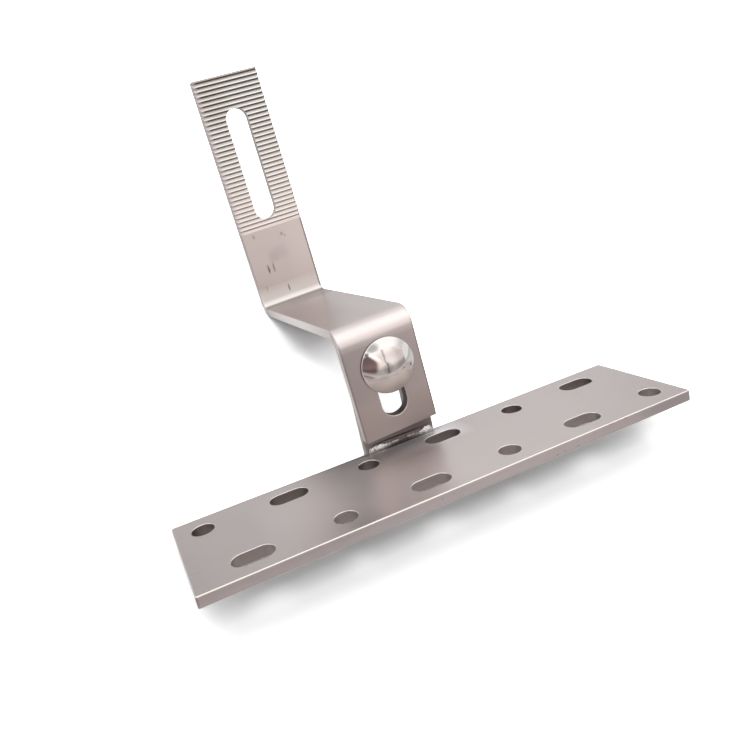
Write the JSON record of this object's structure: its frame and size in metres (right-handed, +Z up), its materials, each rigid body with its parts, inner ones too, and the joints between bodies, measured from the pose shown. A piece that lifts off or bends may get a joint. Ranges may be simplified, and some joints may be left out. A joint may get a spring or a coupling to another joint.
{
  "type": "solar roof hook",
  "caption": "Adjustable stainless roof hook: screw plate with a welded tab, and a bent, toothed arm clamped to it by a bolt.",
  "frame": {"origin": "centre of the base plate's underside, which lies on the rafter", "axes": "+X along the plate, +Y from the plate towards the arm's toothed upright, +Z up from the plate"},
  "size_m": [0.184, 0.1463, 0.1553],
  "materials": {
    "stainless_plate": "satin",
    "stainless_polished": "polished",
    "weld_metal": "satin"
  },
  "bodies": {
    "base": {"base_plate": "stainless_plate", "clamp_tab": "stainless_plate", "weld_bead": "weld_metal", "carriage_bolt": "stainless_polished", "flat_washer": "stainless_plate", "spring_washer": "stainless_plate", "hex_nut": "stainless_plate"},
    "arm": {"hook_arm": "stainless_plate"}
  },
  "joints": [
    {"name": "arm_height_slide", "type": "slide", "parent": "base", "child": "arm", "axis": [-0.0541, 0, 0.9985], "range_m": [-0.0014, 0.0113]}
  ]
}
